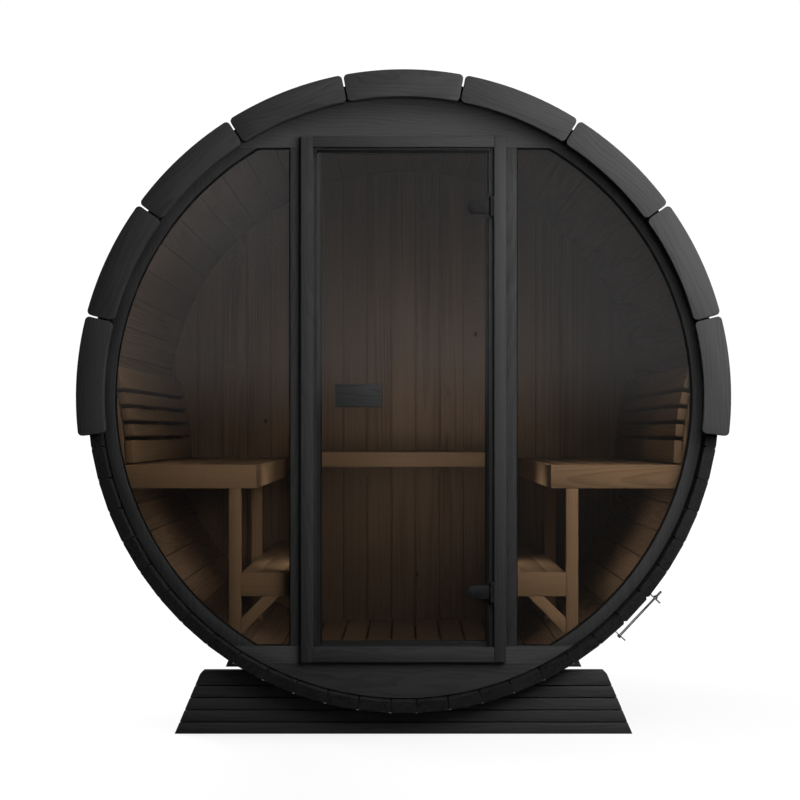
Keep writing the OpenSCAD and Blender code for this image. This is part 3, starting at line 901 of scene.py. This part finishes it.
@dataclass
class Cradle:
    """Five boards on edge, cut to the barrel."""

    end: End
    layout: Layout
    finishes: Finishes
    rng: random.Random
    board_heights: tuple[float, ...] = (0.0393, 0.0393, 0.0393, 0.0393, 0.0468)
    top_width: float = 1.304
    seat_r: float = 1.0114
    corner: float = 0.006
    joint: float = 0.003
    radius: float = 0.0022
    sides: int = 256

    def build(self) -> None:
        """Model each board between its slanted ends and carve the seat."""
        node = f"{self.end.value}_cradle"
        low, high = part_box(node)
        slope = math.atan2(high.x - self.top_width / 2, high.z)
        boards = []
        foot = low.z
        for number, height in enumerate(self.board_heights):
            top = foot + height - (self.joint if foot + height < high.z - self.joint else 0.0)
            corners = (Vector((low.x, low.y, foot)), Vector((high.x, high.y, top)))
            board = cube(f"cradle_board_{number}", *corners)
            for sign in (-1.0, 1.0):
                normal = Vector((sign * math.cos(slope), 0.0, math.sin(slope)))
                cut(board, Vector((sign * high.x, 0.0, low.z)), normal)
                bevel_place = Vector((sign * (self.top_width / 2 - self.corner), 0.0, high.z))
                cut(board, bevel_place, Vector((sign, 0.0, 1.0)).normalized())
            foot += height
            middle = Vector((0.0, (low.y + high.y) / 2, self.layout.axis_z))
            seat = cylinder("seat_cutter", middle, self.seat_r, 2 * (high.y - low.y), ALONG_Y, self.sides)
            carve(board, seat)
            for part in loose_parts(board):
                round_edges(part, self.radius)
                lay_grain(part)
                choose_board(part, self.rng)
                boards.append(part)
        materials = (self.finishes.stain, self.finishes.end_grain_stain_and_shade)
        finish_piece(join(f"{node}_boards", boards), Body.CABIN, Slot.TRIM, [node], *materials)


@dataclass
class Glazing:
    """Window panes in dark seals, and the door leaf."""

    finishes: Finishes
    edge: float = 0.001
    bite: float = 0.0077
    seal_width: float = 0.004
    seal_depth: float = 0.003
    seal_edge: float = 0.0012
    door_seal_y: tuple[float, float] = (-0.040, -0.012)
    # Inset, depth and height of the top strip, and inset, width and gap of the side strips; the strips are
    # painted shade.
    leaf_shade_strip: tuple[float, float, float] = (0.002, 0.0015, 0.010)
    side_shade_strips: tuple[float, float, float] = (0.004, 0.005, 0.005)
    hinge_height: float = 0.065

    def build(self) -> None:
        """Round the edges of each sheet and seal the windows."""
        for side in Side:
            node = f"window_{side.value}"
            self.sheet(node, Body.CABIN)
            self.seal(node)
        self.sheet("door_glass", Body.DOOR)
        self.door_seal()
        self.leaf_gap_painted_shade()

    def sheet(self, node: str, body: Body) -> None:
        """Stand for one sheet of glass."""
        sheet = copy_node(node, f"{node}_sheet")
        round_edges(sheet, self.edge, 1)
        finish_piece(sheet, body, Slot.GLASS, [node], self.finishes.glass)

    def seal(self, node: str) -> None:
        """Run a seal round a window, on both faces of its pane."""
        strips = []
        for facing in (-1.0, 1.0):
            strip = copy_node(node, f"{node}_seal")
            with editing(strip):
                pick_faces(strip, lambda middle, normal, facing=facing: normal.y * facing < STRAIGHT)
                bpy.ops.mesh.delete(type="FACE")
                bpy.ops.mesh.select_all(action="SELECT")
                bpy.ops.mesh.inset(thickness=self.bite, use_boundary=True)
                bpy.ops.mesh.select_all(action="INVERT")
                bpy.ops.mesh.delete(type="FACE")
                bpy.ops.mesh.select_all(action="SELECT")
                bpy.ops.mesh.inset(thickness=self.seal_width, use_boundary=True)
                bpy.ops.mesh.delete(type="FACE")
                bpy.ops.mesh.select_all(action="SELECT")
                bpy.ops.mesh.extrude_region_move(
                    TRANSFORM_OT_translate={"value": (0.0, facing * self.seal_depth, 0.0)}
                )
                bpy.ops.mesh.select_all(action="SELECT")
                bpy.ops.mesh.normals_make_consistent(inside=False)
            strips.append(strip)
        seal = join(f"{node}_seal", strips)
        finish_piece(seal, Body.CABIN, Slot.DARK, [], self.finishes.rubber)

    def door_seal(self) -> None:
        """Run a seal along the inner edges of the door stops, above the sill."""
        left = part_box("door_jamb_left")[1]
        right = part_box("door_jamb_right")[0]
        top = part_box("door_head")[0].z
        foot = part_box("door_sill")[1].z
        front, back = (left.y + offset for offset in self.door_seal_y)
        width = self.seal_width
        corners = (
            (Vector((left.x, front, foot)), Vector((left.x + width, back, top - width))),
            (Vector((right.x - width, front, foot)), Vector((right.x, back, top - width))),
            (Vector((left.x, front, top - width)), Vector((right.x, back, top))),
        )
        strips = [cube("door_seal", low, high) for low, high in corners]
        for strip in strips:
            round_edges(strip, self.seal_edge)
        finish_piece(join("door_seal", strips), Body.CABIN, Slot.DARK, [], self.finishes.rubber)

    def leaf_gap_painted_shade(self) -> None:
        """Lay black strips on the leaf's front along its top edge and, clear of the hinges, along its right
        edge: painted shade standing in for the shaded gaps between the leaf and the frame.
        """
        low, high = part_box("door_glass")
        inset, depth, height = self.leaf_shade_strip
        side_inset, width, gap = self.side_shade_strips
        hinge_foot, hinge_top = (corner.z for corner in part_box("hinge_leaves"))
        # Black strips of painted shade where the gaps round the leaf are shaded.
        foot = Vector((low.x + inset, low.y - depth, high.z - inset - height))
        strips = [cube("leaf_gap_painted_shade", foot, Vector((high.x - inset, low.y, high.z - inset)))]
        runs = (
            (low.z + inset, hinge_foot - gap),
            (hinge_foot + self.hinge_height + gap, hinge_top - self.hinge_height - gap),
            (hinge_top + gap, foot.z - inset),
        )
        for start, end in runs:
            corner = Vector((high.x - side_inset - width, low.y - depth, start))
            strips.append(cube("leaf_gap_painted_shade", corner, Vector((high.x - side_inset, low.y, end))))
        for strip in strips:
            round_edges(strip, depth / 3)
        finish_piece(join("leaf_gap_painted_shade", strips), Body.DOOR, Slot.DARK, [], self.finishes.rubber)


@dataclass
class Tensioner:
    """Bolt, washer and nut that pull a band tight."""

    end: End
    layout: Layout
    finishes: Finishes
    gap_angle: float = math.radians(46.8)
    bolt_r: float = 0.004
    root_r: float = 0.0033
    thread_pitch: float = 0.00125
    thread_from: float = 0.030
    ear_out: float = 0.084
    head_height: float = 0.0052
    nut_height: float = 0.0068
    tail: float = 0.022
    hex_r: float = 0.0069
    washer_r: float = 0.0085
    washer_height: float = 0.0016
    seat_r: float = 1.0114
    bolt_offset: float = 0.0185
    shank_sides: int = 20
    washer_sides: int = 32
    washer_edge: float = 0.0004
    hex_edge: float = 0.0005
    crown_inset: float = 0.12
    crown_rise: float = 1.04

    def build(self) -> None:
        """Model the pieces along the bolt and turn them to the band's gap."""
        node = f"{self.end.value}_band_bolt"
        low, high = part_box(node)
        top = self.ear_out + self.nut_height + self.tail
        pieces = [
            self.shank(top),
            self.hexagon("head", -self.ear_out - self.head_height, self.head_height),
            self.hexagon("nut", self.ear_out + self.washer_height, self.nut_height - self.washer_height),
            self.washer(self.ear_out),
        ]
        place = Vector((0.0, (low.y + high.y) / 2, self.layout.axis_z - self.seat_r - self.bolt_offset))
        lay_across = Matrix.Translation(place) @ Matrix.Rotation(math.pi / 2, 4, "Y")
        turn = self.layout.about_axis(self.gap_angle) @ lay_across
        for piece in pieces:
            piece.matrix_world = turn
        finish_piece(join(f"{node}_set", pieces), Body.CABIN, Slot.STEEL, [node], self.finishes.steel)

    def shank(self, top: float) -> Piece:
        """Model the bolt's shank upright, with a thread at its upper end."""
        foot = -self.ear_out
        middle = Vector((0.0, 0.0, (foot + self.thread_from) / 2))
        piece = cylinder("shank", middle, self.bolt_r, self.thread_from - foot, UPRIGHT, self.shank_sides)
        turns = int((top - self.thread_from) / self.thread_pitch)
        rise = {"value": (0.0, 0.0, (top - self.thread_from) / turns / 2)}
        taper = self.root_r / self.bolt_r
        with editing(piece):
            pick_faces(piece, lambda place, normal: normal.z > STRAIGHT)
            for _ in range(turns):
                for scale in (taper, 1.0 / taper):
                    bpy.ops.mesh.extrude_region_move(TRANSFORM_OT_translate=rise)
                    bpy.ops.transform.resize(value=(scale, scale, 1.0))
            bpy.ops.transform.resize(value=(taper, taper, 1.0))
        focus(piece)
        bpy.ops.object.shade_smooth_by_angle(angle=SHARP_ANGLE)
        return piece

    def hexagon(self, name: str, foot: float, height: float) -> Piece:
        """Model a hexagon with a chamfered crown."""
        middle = Vector((0.0, 0.0, foot + height / 2))
        piece = cylinder(name, middle, self.hex_r, height, UPRIGHT, 6)
        with editing(piece):
            pick_faces(piece, lambda place, normal: abs(normal.z) > STRAIGHT)
            bpy.ops.mesh.inset(thickness=self.hex_r * self.crown_inset)
            bpy.ops.transform.resize(value=(1.0, 1.0, self.crown_rise))
        round_edges(piece, self.hex_edge)
        return piece

    def washer(self, foot: float) -> Piece:
        """Model a washer."""
        middle = Vector((0.0, 0.0, foot + self.washer_height / 2))
        piece = cylinder("washer", middle, self.washer_r, self.washer_height, UPRIGHT, self.washer_sides)
        round_edges(piece, self.washer_edge)
        return piece


@dataclass
class Ironmongery:
    """Bands, hinges and their screws."""

    finishes: Finishes
    edge: float = 0.0007
    band_edge: float = 0.0003
    screw_r: float = 0.0055
    screw_height: float = 0.0022
    screw_sides: int = 24
    screw_edge: float = 0.0004
    screw_shares: tuple[float, float] = (0.24, 0.72)
    socket_inset: float = 0.45
    socket_sink: float = 0.6
    plate_thickness: float = 0.005
    clamp_half: float = 0.0215

    def build(self) -> None:
        """Round the frame's metal pieces and add the screws."""
        for end in End:
            node = f"{end.value}_band"
            self.metal(node, f"{node}_hoop", self.band_edge, Body.CABIN, Slot.STEEL, self.finishes.steel)
        self.metal("hinge_leaves", "hinge_leaf_plates", self.edge, Body.CABIN, Slot.DARK, self.finishes.dark)
        self.metal("hinge_clamps", "hinge_clamp_plates", self.edge, Body.DOOR, Slot.DARK, self.finishes.dark)
        self.screws()

    def metal(self, node: str, name: str, edge: float, body: Body, slot: Slot, material: Material) -> None:
        """Stand for one metal node with rounded edges."""
        piece = copy_node(node, name)
        round_edges(piece, edge)
        finish_piece(piece, body, slot, [node], material)

    def screws(self) -> None:
        """Set socket screws in the front clamp plates."""
        low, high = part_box("hinge_clamps")
        leaf_low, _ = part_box("hinge_leaves")
        plate_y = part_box("door_glass")[0].y - self.plate_thickness
        heights = (low.z + self.clamp_half, high.z - self.clamp_half)
        places = [low.x + (leaf_low.x - low.x) * share for share in self.screw_shares]
        screws = []
        for z in heights:
            for x in places:
                screws.append(self.screw(Vector((x, plate_y - self.screw_height / 2, z))))
        finish_piece(join("hinge_clamp_screws", screws), Body.DOOR, Slot.DARK, [], self.finishes.dark)

    def screw(self, middle: Vector) -> Piece:
        """Model one round head with a sunk socket."""
        head = cylinder("screw", middle, self.screw_r, self.screw_height, ALONG_Y, self.screw_sides)
        with editing(head):
            pick_faces(head, lambda place, normal: normal.y < -STRAIGHT)
            bpy.ops.mesh.inset(thickness=self.screw_r * self.socket_inset)
            sink = {"value": (0.0, self.screw_height * self.socket_sink, 0.0)}
            bpy.ops.mesh.extrude_region_move(TRANSFORM_OT_translate=sink)
        round_edges(head, self.screw_edge)
        return head


# Stage


@dataclass(frozen=True)
class Lamp:
    """A square soft lamp that faces a target."""

    name: str
    place: Colour
    target: Colour
    size: float
    power: float
    spread: float = 180.0

    def hang(self) -> None:
        """Hang the lamp, out of the camera's sight and out of reflections."""
        data = bpy.data.lights.new(self.name, "AREA")
        data.shape = "SQUARE"
        data.size = self.size
        data.energy = self.power
        data.spread = math.radians(self.spread)
        lamp = bpy.data.objects.new(self.name, data)
        lamp.location = self.place
        lamp.rotation_mode = "QUATERNION"
        lamp.rotation_quaternion = (Vector(self.target) - Vector(self.place)).to_track_quat("-Z", "Y")
        lamp.visible_camera = False
        lamp.visible_glossy = False
        bpy.context.scene.collection.objects.link(lamp)


# Place, target, side in metres, power in watts and spread in degrees
LAMPS = (
    Lamp("key", (1.15, -2.2, 1.96), (0.1, -0.9, 1.2), 1.8, 77.0),
    Lamp("front", (0.96, -5.8, 1.04), (0.1, -0.9, 1.2), 2.6, 11.0),
    Lamp("cabin", (0.05, -0.6, 0.8), (0.05, 0.9, 1.05), 0.3, 0.66, 55.0),
    Lamp("left_bench", (-0.1, -0.5, 0.7), (-0.9, -0.4, 0.42), 0.4, 0.6, 75.0),
    Lamp("right_bench", (0.1, -0.5, 0.7), (0.9, -0.4, 0.42), 0.4, 0.8, 75.0),
    Lamp("rear", (-3.0, 5.0, 4.5), (0.0, 0.0, 1.0), 3.0, 800.0),
    Lamp("left", (-5.0, 1.2, 2.2), (0.0, 0.2, 0.9), 2.0, 300.0),
    Lamp("right", (5.0, -0.8, 2.2), (0.0, -0.8, 0.9), 2.0, 200.0),
)


@dataclass
class Studio:
    """White floor, soft light and the camera."""

    focal: float = 89.45
    sensor: float = 36.0
    distance: float = 6.35
    eye_z: float = 0.972
    image: float = 800.0
    centre_px: tuple[float, float] = (403.5, 432.5)
    floor_size: float = 120.0
    white: float = 1.03
    floor_tint: Colour = (0.14, 0.14, 0.14)
    # Grey glow at the spot in front of the barrel, rising to white far off: painted shadow.
    painted_shadow_glow: Colour = (0.8, 0.8, 0.8)
    veil_tint: Colour = (0.96, 1.0, 1.05)
    painted_shadow_centre: Colour = (0.0, -1.2, 0.0)

    def build(self, layout: Layout) -> None:
        """Set the stage round the barrel."""
        self.camera(layout)
        self.floor()
        self.sky()
        for lamp in LAMPS:
            lamp.hang()

    def camera(self, layout: Layout) -> None:
        """Stand the camera square in front of the door end."""
        data = bpy.data.cameras.new("camera")
        data.lens = self.focal
        data.sensor_width = self.sensor
        data.shift_x = (self.image / 2 - self.centre_px[0]) / self.image
        data.shift_y = (self.centre_px[1] - self.image / 2) / self.image
        data.clip_end = 2 * self.floor_size
        eye = bpy.data.objects.new("camera", data)
        eye.location = (0.0, layout.front_y - self.distance, self.eye_z)
        eye.rotation_euler = (math.pi / 2, 0.0, 0.0)
        bpy.context.scene.collection.objects.link(eye)
        bpy.context.scene.camera = eye

    def floor(self) -> None:
        """Lay a pale floor that glows white far off; towards a spot just in front of the barrel its glow dims
        to grey as painted shadow, and only there does it take the lamps' light.
        """
        bpy.ops.object.select_all(action="DESELECT")
        bpy.ops.mesh.primitive_plane_add(size=self.floor_size)
        plane = bpy.context.active_object
        plane.name = "studio_floor"
        material, sheet = new_material("studio_floor")
        place = sheet.wire("ShaderNodeTexCoord", None, None, "Object")
        # The glow is dimmer the nearer this spot: painted shadow round the barrel.
        ends = {0: place, 1: self.painted_shadow_centre}
        near = sheet.wire("ShaderNodeVectorMath", {"operation": "DISTANCE"}, ends, "Value")
        clear_of_painted_shadow = sheet.smooth(near, 0.4, 2.8)
        close_surface(sheet, {
            "Base Color": sheet.mix(clear_of_painted_shadow, self.floor_tint, (0.0, 0.0, 0.0)),
            "Roughness": 0.9,
            "Specular IOR Level": 0.0,
            "Emission Color": sheet.mix(clear_of_painted_shadow, self.painted_shadow_glow, (self.white,) * 3),
            "Emission Strength": 1.0,
        })
        plane.data.materials.append(material)
        plane.visible_diffuse = False
        plane.visible_glossy = False

    def sky(self) -> None:
        """Light the studio from a pale dome that the camera sees as white."""
        world = bpy.data.worlds.new("studio")
        bpy.context.scene.world = world
        world.use_nodes = True
        sheet = NodeSheet(world.node_tree)
        direction = sheet.wire("ShaderNodeTexCoord", None, None, "Generated")
        to_right, to_back, up = sheet.parts(direction)
        path = sheet.add("ShaderNodeLightPath")
        seen = Wire(sheet, path.outputs["Is Camera Ray"])
        mirrored = Wire(sheet, path.outputs["Is Glossy Ray"])
        facing = sheet.smooth(to_back, 0.0, -0.5) * sheet.smooth(to_right * to_right, 0.2, 0.08)
        veil = sheet.smooth(up, -0.005, 0.045) * sheet.smooth(up, 0.35, 0.2)
        corner = sheet.smooth(to_right, -0.02, -0.1) * sheet.smooth(up, 0.06, 0.12) * 0.6
        ceiling = sheet.smooth(up, 0.3, 0.8) * 0.6
        dip = sheet.smooth(to_right * to_right, 0.0045, 0.001) * sheet.smooth(up, 0.05, 0.1) * 0.25
        dome = 0.02 + mirrored * (facing * veil * (corner + 1.0 - dip) * 1.3 + ceiling)
        light = seen * self.white + (1.0 - seen) * dome
        tint = sheet.mix(mirrored, (1.0, 1.0, 1.0), self.veil_tint)
        background = sheet.wire("ShaderNodeBackground", None, {"Color": tint, "Strength": light})
        sheet.add("ShaderNodeOutputWorld", None, {"Surface": background})


# Slot, radius of the edges and tone of each sawn node; the tones of the door posts and backrests also carry
# painted light, one of each left and right pair lightened or darkened to even out how the lamps fall
BOARD_NODES: dict[str, tuple[Slot, float, float]] = {
    "front_fascia": (Slot.TRIM, 0.0025, 0.96),
    "rear_fascia": (Slot.TRIM, 0.0025, 1.0),
    "front_wall_head": (Slot.WALL, 0.001, 1.3),
    "front_wall_base": (Slot.WALL, 0.001, 1.35),
    "front_rim_left": (Slot.WALL, 0.001, 0.93),
    "front_rim_right": (Slot.WALL, 0.001, 0.93),
    # Left post lighter and right post darker: painted light evening out the key lamp's fall from the right.
    "door_post_left": (Slot.WALL, 0.001, 1.15),
    "door_post_right": (Slot.WALL, 0.001, 0.85),
    "door_jamb_left": (Slot.TRIM, 0.001, 0.93),
    "door_jamb_right": (Slot.TRIM, 0.001, 0.97),
    "door_head": (Slot.TRIM, 0.001, 1.0),
    "door_sill": (Slot.TRIM, 0.002, 0.9),
    "floor_boards": (Slot.BARE, 0.003, 1.05),
    "floor_bearers": (Slot.BARE, 0.003, 0.6),
    "upper_bench_left": (Slot.BARE, 0.003, 1.0),
    "upper_bench_right": (Slot.BARE, 0.003, 1.0),
    "lower_bench_left": (Slot.BARE, 0.001, 1.0),
    "lower_bench_right": (Slot.BARE, 0.001, 1.0),
    "bench_legs_left": (Slot.BARE, 0.003, 0.93),
    "bench_legs_right": (Slot.BARE, 0.003, 0.95),
    # Left backrest darker than the right: painted shade against the key lamp lighting the left of the cabin
    # through the glass.
    "backrest_left": (Slot.BARE, 0.004, 0.62),
    "backrest_right": (Slot.BARE, 0.004, 0.8),
    "rear_bench": (Slot.BARE, 0.003, 0.64),
    "rear_bench_legs": (Slot.BARE, 0.003, 1.0),
}


def main() -> None:
    """Build the sub-assemblies in order."""
    logging.basicConfig(level=logging.INFO, format="%(name)s: %(message)s")
    rng = random.Random(SEED)
    layout = Layout.read()
    finishes = Finishes.build()
    bpy.context.scene.view_settings.view_transform = "Standard"
    Studio().build(layout)
    Barrel(layout, finishes, rng).build()
    joinery = Joinery(layout, finishes, rng)
    for node, (slot, radius, tone) in BOARD_NODES.items():
        joinery.dress(node, slot, radius, tone)
    joinery.dress("door_handle", Slot.TRIM, 0.002, 0.8, Body.DOOR)
    BackWall(layout, finishes, rng).build()
    for end in End:
        Cradle(end, layout, finishes, rng).build()
        Tensioner(end, layout, finishes).build()
    Glazing(finishes).build()
    Ironmongery(finishes).build()


if __name__ == "__main__":
    main()
